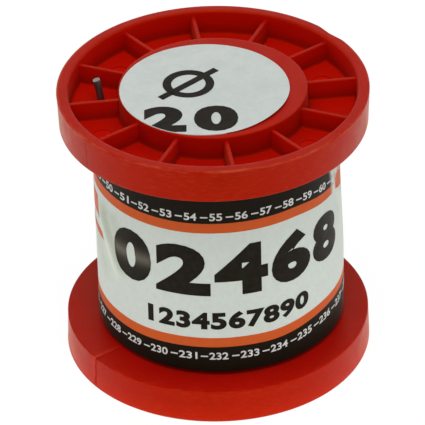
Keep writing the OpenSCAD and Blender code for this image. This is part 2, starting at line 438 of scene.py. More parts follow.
def red_plastic(name, dark, light, roughness, sheen=0.19):
    """Satin moulded plastic: slight flow clouds, a fine skin, wear and the marks of the mould, with
    painted light and shade in the pockets and painted light on the lower rim's foot.
    """
    made, tree, shader = new_material(
        name, Specular_IOR_Level=0.12, Specular_Tint=(1, 0.8, 0.02, 1),
        Sheen_Weight=sheen, Sheen_Roughness=0.3, Sheen_Tint=(1, 0.82, 0.4, 1))
    at = spool_places(tree)
    rim = zone((at.out, FLANGE_R - 2.2, FLANGE_R - 0.6))
    colour = two_tones(noise(at.place, 90, 4, 0.55), dark, light)
    # Painted light on the pockets' floors, painted shade on the hub's side and at the walls' feet
    colour, painted_corner_shade = pocket_painted_light_and_shade(at, colour)
    colour = parting_marks(at, rim, rim_marks_and_painted_light(at, rim, colour))
    rough = two_tones(noise(at.place, 300), grey(roughness), grey(roughness + 0.12))
    skin = bump(noise(at.place, 2600, 3, 0.6), 0.006, 0.5)
    flow = bump(noise(at.place, 130, 2), 0.12, 0.4, skin)
    drive(shader, colour, mixed(painted_corner_shade, rough, grey(0.95)), flow)
    return made


# --- Paper, ink and solder ---
PAPER_WHITE = (0.71, 0.775, 0.71, 1)
# Painted shade in the dents beside the creases, and a painted highlight on their ridges
CREASE_PAINTED_SHADE, CREASE_PAINTED_HIGHLIGHT = (0.66, 0.67, 0.58, 1), (1, 0.97, 0.84, 1)
INK_BLACK = (0.008, 0.006, 0.004, 1)
BAND_ORANGE = (0.674, 0.114, 0.0243, 1)
BAR_ORANGE = (0.50, 0.085, 0.02, 1)
INK_WHITE = (0.58, 0.60, 0.57, 1)
INK_WEAR_AND_GLARE = (0.20, 0.18, 0.14)  # how much of the paper's white a worn ink lets through; also a painted glare at the creases
STICKER_WHITE = (0.66, 0.70, 0.665, 1)
STICKER_GREY = (0.61, 0.655, 0.62, 1)
# painted shadow on the side of the sticker's lifted edge
EDGE_SHADOW_DARK, EDGE_SHADOW_BROWN = (0.02, 0.008, 0.006, 1), (0.09, 0.03, 0.02, 1)
COATING = {"Specular_IOR_Level": 0.07, "Specular_Tint": (1, 0.86, 0.55, 1)}
BANDS = (  # heights above the table at which the colours of the label begin
    (LABEL_Z0, INK_BLACK), (14.15, BAND_ORANGE), (16.55, PAPER_WHITE), (42.1, BAND_ORANGE),
    (44.45, INK_BLACK))


def sheet_share(z):
    """A height as a share of the label's own."""
    return (z - LABEL_Z0) / (LABEL_Z1 - LABEL_Z0)


def paper(name, pattern):
    """Coated paper. pattern(place) gives the printed colour."""
    made, tree, shader = new_material(name, Sheen_Weight=0.11, Sheen_Roughness=0.25,
                                      Sheen_Tint=(1, 0.94, 0.78, 1), **COATING)
    place = object_place(tree)
    fibres = two_tones(noise(place, 900, 5, 0.65), grey(0.93), grey(1.0))
    rough = two_tones(noise(place, 500), grey(0.42), grey(0.56))
    skin = bump(noise(place, 4200, 3, 0.6), 0.004, 0.5)
    waves = bump(noise(place, 160, 2), 0.10, 0.5, skin)
    drive(shader, mixed(1.0, pattern(place), fibres, "MULTIPLY"), rough, waves)
    return made


def label_print(place):
    """Black and orange bands along both edges of a white label, lightened at the creases by wear
    and a painted glare, with painted light and shade beside the creases.
    """
    tree = place.id_data
    height = node("SeparateXYZ", {"Vector": sheet_place(tree)}).outputs["Y"]
    bands = ramp(height, [(sheet_share(z), colour) for z, colour in BANDS], steps=True)
    flecks = ramp(noise(place, 1100, 4, 0.6), [(0.35, grey(0.72)), (0.55, grey(1))])
    # print lightened by wear and by a painted glare at the creases
    bare_and_glare = product(point_value(tree, "wear_and_glare"), flecks)
    # painted shade and highlight beside the creases
    tone = ramp(point_value(tree, "painted_crease_light"),
                [(0.0, CREASE_PAINTED_SHADE), (0.5, grey(0.86)), (1.0, CREASE_PAINTED_HIGHLIGHT)])
    return mixed(1.0, mixed(bare_and_glare, bands, PAPER_WHITE), tone, "MULTIPLY")


def sticker_print(place):
    """A plain white sticker with faint grey mottling from the glue below it."""
    mottle = noise(place, 220, 4, 0.6)
    return ramp(mottle, [(0.35, STICKER_GREY), (0.65, STICKER_WHITE)])


def painted_edge_shadow(place):
    """Painted shadow on the side of the sticker's lifted edge, dark with brownish patches."""
    return ramp(noise(place, 900), [(0.4, EDGE_SHADOW_DARK), (0.7, EDGE_SHADOW_BROWN)])


def ink(name, colour):
    """Printer's ink on coated paper, a little uneven, and lightened at the creases by wear and by a
    painted glare.
    """
    made, tree, shader = new_material(name, **COATING)
    place = object_place(tree)
    thin = tuple(min(1, c * 1.2 + 0.006) for c in colour[:3]) + (1,)
    worn_and_glare = tuple(c + share * (1 - c) for c, share in zip(colour[:3], INK_WEAR_AND_GLARE)) + (1,)
    uneven = ramp(noise(place, 700, 4, 0.6), [(0.4, colour), (0.75, thin)])
    rough = two_tones(noise(place, 500), grey(0.36), grey(0.50))
    drive(shader, mixed(point_value(tree, "wear_and_glare"), uneven, worn_and_glare), rough,
          bump(noise(place, 160, 2), 0.10, 0.5))
    return made


def solder(name, dark, light, roughness):
    """Drawn solder wire: dull grey metal with streaks along the wire."""
    made, tree, shader = new_material(name, Metallic=1.0)
    along = node("Mapping", {"Vector": sheet_place(tree), "Scale": (0.6, 26, 1)})
    streaks = noise(along.outputs["Vector"], 1.0, 4, 0.6)
    clouds = noise(object_place(tree), 350)
    colour = mixed(0.5, two_tones(streaks, dark, light), two_tones(clouds, dark, light))
    rough = two_tones(clouds, grey(roughness), grey(roughness + 0.14))
    drive(shader, colour, rough, bump(streaks, 0.012, 0.6))
    return made


# --- The moulded body ---
PLAIN, IN_PIN_MARK, IN_POCKET = 0, 1, 2  # the places of the body's materials


def end_stations():
    """(radius, depth below the rim face) round one end, from inside the bore to the barrel."""
    corners = [
        (BORE_R, 3.0, 0),
        (BORE_R, HUB_DROP, 0.45),
        (HUB_R, HUB_DROP, 0.25),
        (HUB_R + POCKET_DRAFT, POCKET, 0.5),
        (RIM_INNER_R - POCKET_DRAFT, POCKET, 0.5),
        (RIM_INNER_R, 0, 0.45),
        (FLANGE_R, 0, 0.25),
        (FLANGE_R - RIM_DRAFT, FLANGE_DEPTH, 0.22),
        (BARREL_R, FLANGE_DEPTH, 0.4),
        (BARREL_R, FLANGE_DEPTH + 3, 0),
    ]
    return filled(rounded(corners), 0.6)


def sector_lines():
    """How far the near lines reach from a rib's middle plane, and (side, near, value, depth) of
    each line across a sector. A near line's value is its distance from the plane, and that of the
    others is their share of the rest of the way to the pocket's middle."""
    flank = [(0, RIB_DROP, 0), (RIB_T / 2, RIB_DROP, 0.16),
             (RIB_T / 2 + RIB_TAPER, POCKET, 0.45), (1.5, POCKET, 0)]
    half = [(True, *station) for station in filled(rounded(flank), 0.5)]
    reach = half[-1][1]
    half += [(False, k / 8, POCKET) for k in range(1, 9)]
    left = [(-1, *line) for line in reversed(half[1:-1])]
    return reach, left + [(1, *line) for line in half]


def body_shell():
    """The moulding as a grid of stations round the profile by lines round the axis: radii,
    bearings and depths, and each line's rib and distance from it."""
    stations = end_stations()
    reach, lines = sector_lines()
    r, depth = stations[:, 0:1], stations[:, 1:2]
    edge = np.degrees(np.arcsin(reach / r))
    ribbed = (depth <= POCKET + 0.001) & (r < RIM_INNER_R + 0.6)
    turns, depths, offsets = [], [], []
    for k in range(RIB_COUNT):
        for side, near, value, rib_depth in lines:
            turn = np.degrees(np.arcsin(value / r)) if near else edge + (SECTOR / 2 - edge) * value
            turns.append(RIB_TURN + SECTOR * k + side * turn)
            depths.append(np.where(ribbed, soft_min(depth, rib_depth, 0.12), depth))
            offsets.append((k, side * (value if near else reach)))
    turns, depths = np.hstack(turns), np.hstack(depths)
    return r + 0 * turns, turns, depths, offsets


def body_end(upper):
    """Points of one end of the moulding, with its mould marks."""
    r, turns, depths, offsets = body_shell()
    outside = (r > RIM_INNER_R + RIM_WALL / 2) & (depths > 0.4) & (depths < FLANGE_DEPTH - 0.1)
    inner_face = (depths > FLANGE_DEPTH - 0.05) & (r > LAYER_R)
    line = -math.radians(RIB_TURN + SECTOR - PARTING_TURN) * FLANGE_R
    marked = np.array([k in (1, 1 + RIB_COUNT // 2) and abs(t - line) < 0.06 for k, t in offsets])
    wander = 0.14 * np.sin(2.2 * depths) + 0.07 * np.sin(5.7 * depths + 1) - LINE_SHIFT
    turns = turns + np.where(outside & marked, np.degrees(wander / FLANGE_R), 0)
    ahead = (turns - PARTING_TURN) % 360 < 180
    ridge = UPPER_RIDGE if upper else LOWER_RIDGE
    r = r + np.where(outside & ahead, -MOULD_SHIFT, 0) + np.where(outside & marked, ridge, 0)
    depths = depths + np.where(inner_face & marked, INNER_RIDGE, 0)
    angles = np.radians(turns)
    z = SPOOL_H - depths if upper else depths
    return np.stack([r * np.cos(angles), r * np.sin(angles), z], -1)


def circle(middle, radius, sides=48):
    return [middle + on_circle(radius, k * 360 / sides) for k in range(sides)]


def gate_outline():
    """The shallow notch that was left in the upper rim where the gate was cut off."""
    half = GATE_W / 2
    end = math.sqrt(FLANGE_R ** 2 - half ** 2)
    corners = [(FLANGE_R - GATE_DEPTH, 0), (end, -half), (FLANGE_R + 2, -half),
               (FLANGE_R + 2, half), (end, half)]
    return [on_circle(x, GATE_TURN) + on_circle(y, GATE_TURN + 90) for x, y in corners]


def prism(outline, low, high, base=0):
    """Points and faces of an upright prism. The points are numbered from base on."""
    n = len(outline)
    points = [(x, y, z) for z in (low, high) for x, y in outline]
    faces = [tuple(range(n))[::-1], tuple(range(n, 2 * n))]
    faces += [(k, (k + 1) % n, n + (k + 1) % n, n + k) for k in range(n)]
    return points, [tuple(base + k for k in face) for face in faces]


def cut(piece, prisms):
    """Cuts upright prisms from a piece. Each is (outline, low, high, material index)."""
    points, faces, marks = [], [], []
    for outline, low, high, material in prisms:
        more_points, more_faces = prism(outline, low, high, len(points))
        points += more_points
        faces += more_faces
        marks += [material] * len(more_faces)
    cutter = mesh_object("cutter", points, faces, piece.data.materials[0])
    for slot in piece.data.materials[1:]:
        cutter.data.materials.append(slot)
    cutter.data.polygons.foreach_set("material_index", marks)
    step = piece.modifiers.new("cut", "BOOLEAN")
    step.object, step.operation, step.solver = cutter, "DIFFERENCE", "EXACT"
    graph = bpy.context.evaluated_depsgraph_get()
    result = bpy.data.meshes.new_from_object(piece.evaluated_get(graph))
    piece.modifiers.remove(step)
    old, piece.data = piece.data, result
    bpy.data.meshes.remove(old)
    bpy.data.objects.remove(cutter)


def lies_in_pocket(face):
    """Whether a face is on a pocket's floor or walls, and not on a rib's top."""
    x, y, z = face.center / MM
    depth, out = min(z, SPOOL_H - z), math.hypot(x, y)
    rib_top = abs(face.normal.z) > 0.6 and depth < 2
    return (HUB_R - 0.02 < out < RIM_INNER_R + 0.02 and 0.45 < depth < POCKET + 0.05
            and not rib_top)


def make_body(material, pin_material, pocket_painted_light_material):
    top, bottom = body_end(True), body_end(False)
    points = np.concatenate([top, bottom[::-1]])
    rows, columns = points.shape[:2]
    made = mesh_object("moulded_spool", points.reshape(-1, 3),
                       grid_faces(rows, columns, True, True), material)
    made.data.materials.append(pin_material)
    web_face, floor = SPOOL_H - FLANGE_DEPTH, SPOOL_H - POCKET
    middle = (HUB_R + RIM_INNER_R) / 2
    marked_pockets = [RIB_TURN + SECTOR * (k + 0.5) for k in range(0, RIB_COUNT, 2)]
    cuts = [(circle(on_circle(middle, turn), PIN_R), floor - PIN_SUNK, floor + 1, IN_PIN_MARK)
            for turn in marked_pockets]
    cuts += [(circle(on_circle(HOLE_OUT, HOLE_TURN), WIRE_HOLE_R), web_face - 1, floor + 1, PLAIN),
             (gate_outline(), web_face - 1, SPOOL_H + 1, PLAIN)]
    cut(made, cuts)
    finish_mesh(made.data)
    made.data.materials.append(pocket_painted_light_material)
    # faces in the pockets take the copy of the red whose paler base colour is painted light
    for face in made.data.polygons:
        if face.material_index == PLAIN and lies_in_pocket(face):
            face.material_index = IN_POCKET
    put(made, "red_plastic", "spool_body")


# --- The solder wire ---
TURNS = 27.763
STEP_TURN = 6
CLIMB_TURN = 45  # over which the wire climbs out of the layer below
LEAD_TURN = 50  # over which it sinks towards its hole at the end
WIRE_SIDES = 14


def wire_route():
    """The wire's middle line: out of the layer below, round the winding, up through the hole."""
    last_turn_end = HOLE_TURN - math.degrees(BEND_R / HOLE_OUT)
    wound = TURNS * 360
    angle = np.arange(0, wound - STEP_TURN / 2, STEP_TURN)
    climb = smooth(angle / CLIMB_TURN)
    lead = smooth((angle - wound + LEAD_TURN) / LEAD_TURN)
    r = LAYER_R - WIRE_D * (1 - climb) - lead * (LAYER_R - HOLE_OUT)
    turn = np.radians(last_turn_end - wound + angle)
    z = FIRST_Z + (BEND_BOTTOM - FIRST_Z) * angle / wound
    winding = np.stack([r * np.cos(turn), r * np.sin(turn), z], -1)
    out = np.array([*on_circle(1, HOLE_TURN), 0])
    ahead = np.array([-out[1], out[0], 0])
    up = np.array([0, 0, 1.0])
    hole = out * HOLE_OUT
    bend = [hole + up * BEND_BOTTOM + BEND_R * (up * (1 - math.cos(a)) - ahead * (1 - math.sin(a)))
            for a in np.linspace(0, math.pi / 2, 9)]
    floor, tip = SPOOL_H - POCKET, WIRE_TIP_Z
    stand = [hole + out * WIRE_LEAN * s ** 1.2 + up * (floor + (tip - floor) * s)
             for s in np.linspace(0, 1, 15)]
    return np.concatenate([winding, bend, stand])


def sweep(name, route, radius, sides, material):
    """A closed round tube along a route that never runs straight at the axis."""
    ahead = np.gradient(route, axis=0)
    ahead /= np.linalg.norm(ahead, axis=1)[:, None]
    out = route * (1, 1, 0)
    side = np.cross(ahead, out)
    side /= np.linalg.norm(side, axis=1)[:, None]
    out = np.cross(side, ahead)
    a = np.linspace(0, 2 * math.pi, sides, endpoint=False)[None, :, None]
    rings = route[:, None] + radius * (np.cos(a) * out[:, None] + np.sin(a) * side[:, None])
    rows = len(route)
    faces = grid_faces(rows, sides, False, True)
    faces += [tuple(range(sides))[::-1], tuple(range((rows - 1) * sides, rows * sides))]
    length = np.concatenate([[0], np.cumsum(np.linalg.norm(np.diff(route, axis=0), axis=1))])
    uv = np.broadcast_arrays(length[:, None] / 10, np.abs(np.linspace(-1, 1, sides))[None])
    return mesh_object(name, rings.reshape(-1, 3), faces, material,
                       np.stack(uv, -1).reshape(-1, 2))


def shear_end(piece, tip):
    """Shapes the cut end: a slanted face with a low ridge where the cutter's jaws met."""
    shape = bmesh.new()
    shape.from_mesh(piece.data)
    cap = min((f for f in shape.faces if len(f.verts) == WIRE_SIDES),
              key=lambda f: (f.calc_center_median() - tip).length)
    made = bmesh.ops.inset_individual(shape, faces=[cap], thickness=0.10 * MM, depth=0.05 * MM)
    for face in [cap, *made["faces"]]:
        face.material_index = 1
    middle = cap.calc_center_median()
    for corner in cap.verts:
        across = (corner.co - middle).dot(Vector((0.55, -0.83, 0))) / MM
        corner.co.z += (0.16 - 0.35 * abs(across)) * MM
    shape.to_mesh(piece.data)
    shape.free()


def make_wire(material, cut_material):
    route = wire_route()
    made = sweep("solder_wire", route, WIRE_R, WIRE_SIDES, material)
    made.data.materials.append(cut_material)
    shear_end(made, Vector(route[-1] * MM))
    put(made, "solder", "solder_outer_layer")


# --- The label ---
CREASES = [  # start and end (arc, height), how high, how wide, how far the print is lightened (wear and a painted glare), painted light and shade beside it
    ((-32.6, 39.8), (-22.4, 23.6), 0.50, 1.6, 0.0, 1.0),
    ((-26.0, 33.0), (-13.0, 33.4), 0.22, 1.6, 0.5, 0.0),
    ((-27.5, 39.0), (-23.5, 33.0), 0.14, 1.4, 0.0, 0.4),
    ((28.6, 49.0), (30.4, 40.2), 0.40, 0.8, 1.6, 0.3),
    ((31.5, 40.5), (37.5, 36.0), 0.24, 1.4, 0.0, 0.4),
    ((52.0, 44.0), (61.0, 33.0), 0.24, 2.0, 0.3, 0.3),
    ((-70.0, 20.0), (-61.0, 31.0), 0.22, 2.2, 0.3, 0.25),
]
RIPPLES = np.random.default_rng(7).uniform(-1, 1, (7, 4))
RIPPLE_H = 0.022
SLACK_TURN, SLACK_SPREAD = 82, 34  # where the label is slack, in degrees from the front
SLACK_LOW, SLACK_DROP = 0.30, 0.75  # how far it stands off there below, and falls in above
LABEL_COLUMNS, LABEL_ROWS = 431, 107

# Drift of the print's lower and upper parts: at the far left, then (begins at, runs over, rise)
LOWER_DRIFT = -0.55, (-22, 27, 0.55), (9, 20, 1.7)
UPPER_DRIFT = -0.65, (-20, 32, 0.45), (15, 15, -1.65)
DRIFT_Z0, DRIFT_Z1 = 15, 43


def from_crease(arc, z, start, end):
    """Distance from a crease, the share of the way along it, and the distance to its left."""
    run, climb = end[0] - start[0], end[1] - start[1]
    dx, dz = arc - start[0], z - start[1]
    along = np.clip((dx * run + dz * climb) / (run ** 2 + climb ** 2), 0, 1)
    leftward = (dx * climb - dz * run) / math.hypot(run, climb)
    return np.hypot(dx - along * run, dz - along * climb), along, leftward


def faded(along, pace):
    """1 in the middle of a crease, easing to 0 at its ends."""
    return smooth(pace * along) * smooth(pace * (1 - along))


def bell(distance, width):
    return np.exp(-(distance / width) ** 2)


def wrinkles(arc, z):
    """How far the label stands off its plain cylinder."""
    rise = np.zeros(np.broadcast(arc, z).shape)
    for start, end, height, width, *_ in CREASES:
        away, along, _ = from_crease(arc, z, start, end)
        fade = faded(along, 4) * 0.85 + 0.15
        rise = rise + fade * height * np.exp(-(np.hypot(away, 0.15) - 0.15) / width)
    for a, b, phase, size in RIPPLES:
        waves = round(5 * a + 6) * arc / LABEL_R + 0.16 * b * z + 3 * phase
        rise = rise + RIPPLE_H * size * np.sin(waves)
    aside = (np.degrees(arc / LABEL_R) - SLACK_TURN + 180) % 360 - 180
    slack = np.exp(-aside ** 2 / 2 / SLACK_SPREAD ** 2)
    return rise + slack * (SLACK_LOW - SLACK_DROP * smooth((z - 20) / 24))


def crease_wear_and_glare(arc, z):
    """How far the print is lightened along the creases, from 0 to 1: worn off, and a painted glare.
    """
    worn_and_glare = np.zeros(np.broadcast(arc, z).shape)
    for start, end, _, width, wear_and_glare, _ in CREASES:
        away, along, _ = from_crease(arc, z, start, end)
        worn_and_glare = np.maximum(worn_and_glare, wear_and_glare * np.maximum(faded(along, 5), wear_and_glare > 1) * bell(away, width))
    return np.clip(worn_and_glare, 0, 1)


def corner_tear_and_glare(arc, z):
    """How far the print is whitened above the folded corner, from 0 to 1: torn off, and a painted
    glare on the fold.
    """
    end = 39.5 + 1.5 * np.sin(1.3 * z) + 0.8 * np.sin(3.7 * z + 2)
    low = 43.8 + 0.5 * np.sin(1.9 * arc)
    return smooth((arc - 28.8) / 1.0) * smooth((end - arc) / 1.4) * smooth((z - low) / 0.8)


def painted_crease_shading(arc, z):
    """Painted light and shade beside the creases: over 0 for a painted highlight on the ridge,
    under
    0 for painted shade in the dents on both sides of it."""
    tone = np.zeros(np.broadcast(arc, z).shape)
    for start, end, _, width, _, painted_crease_light in CREASES:
        _, along, leftward = from_crease(arc, z, start, end)
        ridge = bell(leftward - 0.5 * width, 0.7 * width)
        trough = bell(leftward + 1.3 * width, 1.3 * width)
        beyond = bell(leftward - 3.8 * width, 1.9 * width)
        tone = tone + painted_crease_light * faded(along, 4) * (ridge - 1.15 * trough - 0.45 * beyond)
    return tone


def print_drift(arc, z):
    """How far the label's print sits above its place: the label was wrapped a little askew."""
    lower, upper = (first + sum(rise * smooth((arc - begin) / run) for begin, run, rise in steps)
                    for first, *steps in (LOWER_DRIFT, UPPER_DRIFT))
    share = np.clip((z - DRIFT_Z0) / (DRIFT_Z1 - DRIFT_Z0), 0, 1)
    return smooth((70 - np.abs(arc)) / 15) * (lower + (upper - lower) * share)


def folded_slip(arc, z):
    """How far the bands sit below their place: they drift, and the folded corner at the upper right
    shows its own stretch of them."""
    corner = smooth((arc - 29.3) / 1.2) * smooth((50 - arc) / 13) * smooth((z - 34) / 4)
    drift = print_drift(arc, z)
    return corner * (1.6 - 0.44 * (z - 40.5) + 0.2 * (arc - 30.8) + drift) - drift


def label_arc(turn):
    """The arc at a bearing about the label's middle."""
    return np.radians((turn + 270) % 360 - 180) * LABEL_R


def label_surface(turn, z, lift=0.0):
    """Points of the label's face at bearings about its middle and heights, lifted off it."""
    turn, z = np.broadcast_arrays(np.asarray(turn, float), np.asarray(z, float))
    r = LABEL_R + wrinkles(label_arc(turn), z) + lift
    a = np.radians(turn)
    return np.stack([LABEL_X + r * np.cos(a), r * np.sin(a), z], -1)


def make_label(material):
    """The label as one thin sheet that laps over its own beginning."""
    lap_turn = math.degrees(LAP / LABEL_R)
    turns = np.linspace(0, 360 + lap_turn, LABEL_COLUMNS)
    heights = np.linspace(LABEL_Z0, LABEL_Z1, LABEL_ROWS)
    lap_rise = ((PAPER_T + 0.03) * smooth((turns - 354) / 6))[:, None]
    grid_t, z = np.meshgrid(turns, heights, indexing="ij")
    bearing = grid_t + LAP_END - lap_turn
    arc = label_arc(bearing)
    front = label_surface(bearing, z, lap_rise)
    back = label_surface(bearing, z, lap_rise - PAPER_T)
    uv = np.stack([grid_t / 360, sheet_share(z + folded_slip(arc, z))], -1).reshape(-1, 2)
    made = mesh_object("paper_label", np.concatenate([front, back]).reshape(-1, 3),
                       sheet_faces(*grid_t.shape), material, np.concatenate([uv, uv]))
    # print lightened by wear and by a painted glare
    worn_and_glare = np.maximum(crease_wear_and_glare(arc, z), corner_tear_and_glare(arc, z)).ravel()
    # painted light and shade beside the creases
    tone = (0.5 + 0.5 * painted_crease_shading(arc, z)).ravel()
    set_layer(made.data, "wear_and_glare", np.concatenate([worn_and_glare, worn_and_glare]))
    set_layer(made.data, "painted_crease_light", np.concatenate([tone, tone]))
    put(made, "label_paper", "wrap_label")


# --- Print ---
INK_LOW, INK_T = 0.012, 0.03  # gap below the ink, and its thickness
FINE_STEP, STEP = 0.45, 0.6  # sizes of the squares that print is cut along


def glyphs(body, width, height, bold, spacing=1.0):
    """Flat lettering as a mesh in millimetres: x from 0 to width, y from 0 to height, and z from 0
    to the ink's thickness."""
    curve = bpy.data.curves.new("glyphs", "FONT")
    curve.body, curve.offset, curve.extrude = body, bold, 0.5
    curve.space_character = spacing
    curve.resolution_u = 5
    text = new_object("glyphs", curve)
    graph = bpy.context.evaluated_depsgraph_get()
    mesh = bpy.data.meshes.new_from_object(text.evaluated_get(graph))
    bpy.data.objects.remove(text)
    bpy.data.curves.remove(curve)
    points = np.zeros(len(mesh.vertices) * 3, np.float32)
    mesh.vertices.foreach_get("co", points)
    points = points.reshape(-1, 3)
    low, high = points.min(0), points.max(0)
    points = (points - low) / (high - low) * (width, height, INK_T)
    mesh.vertices.foreach_set("co", points.astype(np.float32).ravel())
    return mesh


def bar(x0, y0, x1, y1):
    """A flat rectangle of ink."""
    mesh = bpy.data.meshes.new("bar")
    points, faces = prism([(x0, y0), (x1, y0), (x1, y1), (x0, y1)], 0, INK_T)
    mesh.from_pydata(points, [], faces)
    return mesh


def ring(middle, outer, inner, sides=96):
    """A flat ring of ink."""
    mesh = bpy.data.meshes.new("ring")
    a = np.linspace(0, 2 * math.pi, sides, endpoint=False)
    loops = [(outer, 0), (inner, 0), (inner, INK_T), (outer, INK_T)]
    points = [(middle[0] + r * math.cos(t), middle[1] + r * math.sin(t), z)
              for r, z in loops for t in a]
    mesh.from_pydata(points, [], grid_faces(4, sides, True, True))
    return mesh


def bisect(shape, at, way, **settings):
    """Cuts all of a shape along a plane."""
    return bmesh.ops.bisect_plane(shape, geom=shape.verts[:] + shape.edges[:] + shape.faces[:],
                                  plane_co=at, plane_no=way, **settings)


def diced(mesh, step, shift=(0, 0), turned=0.0):
    """The mesh moved on the sheet, then cut along a square grid, so that it can bend."""
    shape = bmesh.new()
    shape.from_mesh(mesh)
    bpy.data.meshes.remove(mesh)
    bmesh.ops.remove_doubles(shape, verts=shape.verts, dist=1e-5)
    bmesh.ops.rotate(shape, verts=shape.verts, cent=(0, 0, 0),
                     matrix=Matrix.Rotation(turned, 3, "Z"))
    bmesh.ops.translate(shape, verts=shape.verts, vec=(*shift, 0))
    places = np.array([v.co for v in shape.verts])
    low, high = places.min(0), places.max(0)
    for axis in (0, 1):
        for k in range(math.ceil(low[axis] / step), math.floor(high[axis] / step) + 1):
            at, way = [0, 0, 0], [0, 0, 0]
            at[axis], way[axis] = k * step, 1
            bisect(shape, at, way, dist=1e-6)
    return shape


def on_label(shape):
    """Bends flat print round the label: x is the arc, y the height."""
    flat = np.array([v.co for v in shape.verts])
    z = flat[:, 1] + print_drift(flat[:, 0], flat[:, 1])
    return label_surface(np.degrees(flat[:, 0] / LABEL_R) - 90, z, flat[:, 2] + INK_LOW)


def on_sticker(shape):
    """Lays flat print on the sticker."""
    flat = np.array([v.co for v in shape.verts])
    return sticker_surface(flat[:, 0], flat[:, 1], flat[:, 2] + INK_LOW)


def print_piece(name, shapes, place, material):
    """One piece of print from several flat shapes, bent into place by on_label or on_sticker."""
    points, faces, worn_and_glare = [], [], []
    for shape in shapes:
        shape.verts.index_update()
        base = len(points)
        points += place(shape).tolist()
        faces += [tuple(base + v.index for v in f.verts) for f in shape.faces]
        # print lightened by wear and by a painted glare at the creases
        worn_and_glare += [crease_wear_and_glare(v.co.x, v.co.y) if place is on_label else 0 for v in shape.verts]
        shape.free()
    made = mesh_object(name, points, faces, material, sharp=60)
    set_layer(made.data, "wear_and_glare", worn_and_glare)
    put(made, "label_paper" if place is on_label else "sticker_paper")


BIG_DIGITS = "02468"
BIG_PLACES = ((-24.8, 10.2), (-13.6, 11.6), (-1.2, 11.0), (10.6, 9.7), (21.1, 9.3))  # start, width
BIG_H, BIG_Z, BIG_BOLD = 12.1, 27.0, 0.055
ROW_DIGITS = "1234567890"
ROW_W, ROW_H, ROW_Z, ROW_START, ROW_BOLD, ROW_SPACING = 35.2, 4.4, 18.6, -15.7, 0.048, 1.1
SCALES = (("label_upper_scale", 45.25, 40, 31),  # name, height, first number, count
          ("label_lower_scale", 11.2, 220, 25))
SCALE_H, SCALE_BOLD, SCALE_SHIFT = 1.75, 0.02, 0.6
DASH = (0.7, 0.65, 2.2, 0.95)  # corners, from the foot of the number's end
BARS = ((-43.0, 35.7, -30.3, 40.4), (-40.0, 31.1, -30.3, 32.8))
BAR_SLANT = 0.3


def make_label_print(black, white, orange):
    """Plain numbers and bars in the places of the label's print."""
    big = [diced(glyphs(digit, width, BIG_H, BIG_BOLD), FINE_STEP, (start, BIG_Z))
           for digit, (start, width) in zip(BIG_DIGITS, BIG_PLACES)]
    print_piece("label_large_numbers", big, on_label, black)
    row = glyphs(ROW_DIGITS, ROW_W, ROW_H, ROW_BOLD, ROW_SPACING)
    print_piece("label_small_numbers", [diced(row, STEP, (ROW_START, ROW_Z))], on_label, black)
    for name, z, first, count in SCALES:
        groups = []
        pitch = 2 * math.pi * LABEL_R / count
        for k in range(count):
            number = str(first + k)
            width = SCALE_H * 0.74 * len(number)
            x = (k - count / 2) * pitch + SCALE_SHIFT
            groups.append(diced(glyphs(number, width, SCALE_H, SCALE_BOLD), STEP, (x, z)))
            groups.append(diced(bar(*DASH), STEP, (x + width, z)))
        print_piece(name, groups, on_label, white)
    bars = [diced(bar(*corners), STEP) for corners in BARS]
    for shape in bars:
        for v in shape.verts:
            v.co.x -= 1.0 + BAR_SLANT * (v.co.y - 36)
    print_piece("label_orange_bars", bars, on_label, orange)


# --- The sticker ---
STICKER_LIFT = 0.35
LIFT_TURN, LIFT_FROM = -32, 0.72  # bearing of the lifted edge, and the share of the radius
SHADOW_FROM, SHADOW_TO = 283, 10  # bearings between which the edge's side is painted as shadow
SIGN_MIDDLE, SIGN_R, SIGN_INNER_R = (-4.9, 1.1), 5.2, 3.46
SIGN_BAR, SIGN_TURN = (-7.75, -0.8, 7.75, 0.8), 43
NUMBER = (("2", -14.0, 8.6), ("0", -3.9, 8.8))  # digit, start, width
NUMBER_H, NUMBER_Y, NUMBER_BOLD = 9.4, -16.7, 0.06
STICKER_STEP = 0.8


def sticker_surface(x, y, lift=0.0):
    """Points of the sticker's face: flat, with its right edge lifted a little."""
    dx, dy = x - STICKER_MIDDLE[0], y - STICKER_MIDDLE[1]
    way = on_circle(1, LIFT_TURN)
    toward = (dx * way[0] + dy * way[1]) / STICKER_R
    curl = STICKER_LIFT * np.clip((toward - LIFT_FROM) / (1 - LIFT_FROM), 0, 1) ** 2
    ripple = 0.03 * np.sin(dx * 0.42 + 1.0) * np.sin(dy * 0.37 + 0.4)
    z = sticker_high[2] + curl + ripple * smooth(np.hypot(dx, dy) / 6) + lift
    return np.stack([x, y, z], -1)


def make_sticker(material, edge_material):
    radii = STICKER_R * np.linspace(0.02, 1, 40)
    angles = np.linspace(0, 2 * math.pi, 180, endpoint=False)
    r, a = np.meshgrid(radii, angles, indexing="ij")
    x, y = STICKER_MIDDLE[0] + r * np.cos(a), STICKER_MIDDLE[1] + r * np.sin(a)
    front, back = sticker_surface(x, y), sticker_surface(x, y, -PAPER_T)
    points = np.concatenate([front, back[::-1]]).reshape(-1, 3)
    columns = len(angles)
    faces = grid_faces(2 * len(radii), columns, False, True)
    faces += [tuple(range(columns))[::-1], tuple(range(len(points) - columns, len(points)))]
    made = mesh_object("hub_sticker", points, faces, material, sharp=60)
    made.data.materials.append(edge_material)
    edge = (len(radii) - 1) * columns
    for k, angle in enumerate(np.degrees(angles)):
        # the side of the lifted edge between these bearings takes the painted shadow
        made.data.polygons[edge + k].material_index = int(angle > SHADOW_FROM or angle < SHADOW_TO)
    put(made, "sticker_paper", "end_sticker")


